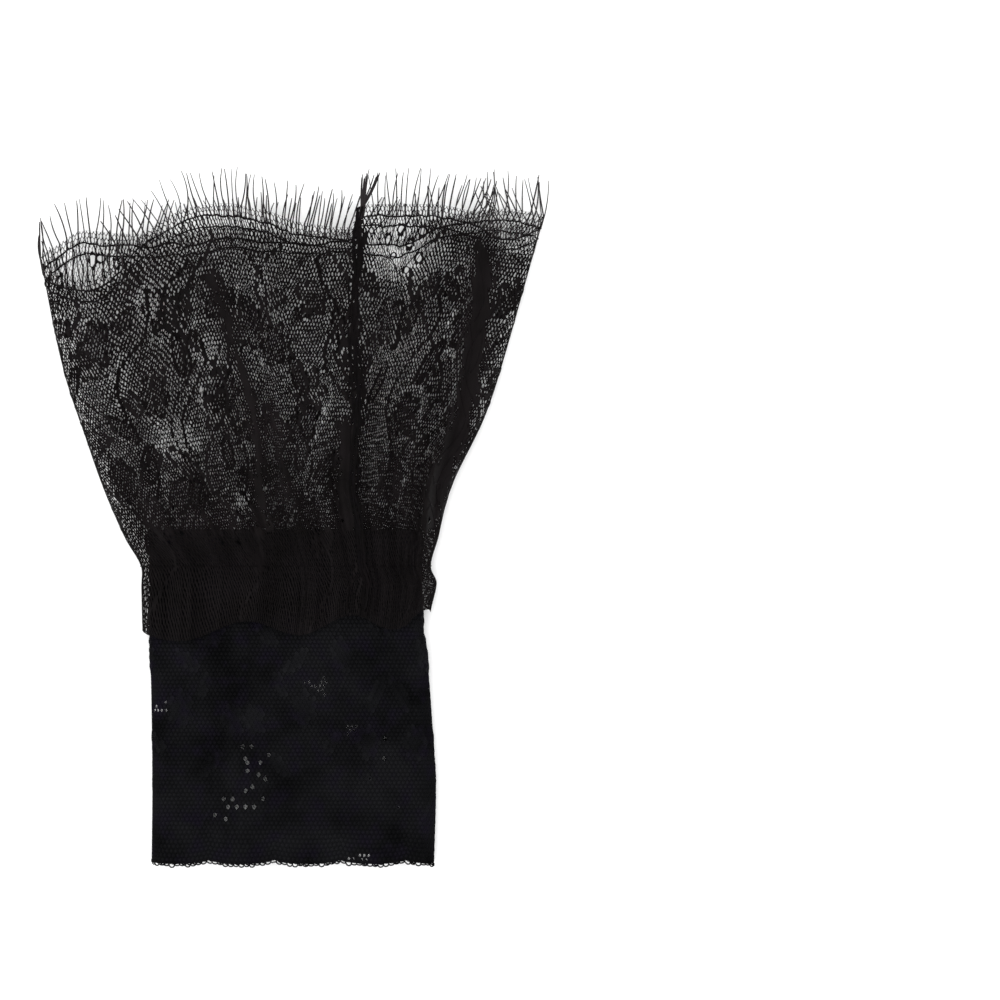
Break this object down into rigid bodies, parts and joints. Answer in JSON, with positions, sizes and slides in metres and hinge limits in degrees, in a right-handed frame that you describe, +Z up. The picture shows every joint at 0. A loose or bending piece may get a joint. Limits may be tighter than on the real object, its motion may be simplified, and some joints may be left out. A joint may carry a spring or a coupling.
{
  "type": "lace cuff",
  "caption": "Lace wrist cuff lying flat: a snug stretch-lace wrist band and a gathered, flared lace flounce with openwork and an eyelash fringe on its scalloped edge.",
  "frame": {"origin": "the middle of the cuff's footprint, on the surface that it lies on", "axes": "+Z up from that surface, +Y from the wrist hem to the fringe, +X to the right seen from above"},
  "size_m": [0.1476, 0.2012, 0.0186],
  "materials": {
    "stretch_lace": "matt black stretch lace with a slight sheen on its motifs",
    "gathered_lace": "sheer black bobbinet lace with denser floral motifs",
    "fringe_thread": "loose black warp threads"
  },
  "bodies": {
    "root": {"wrist_band": "stretch_lace", "flare": "gathered_lace", "eyelash_fringe": "fringe_thread"}
  },
  "joints": []
}
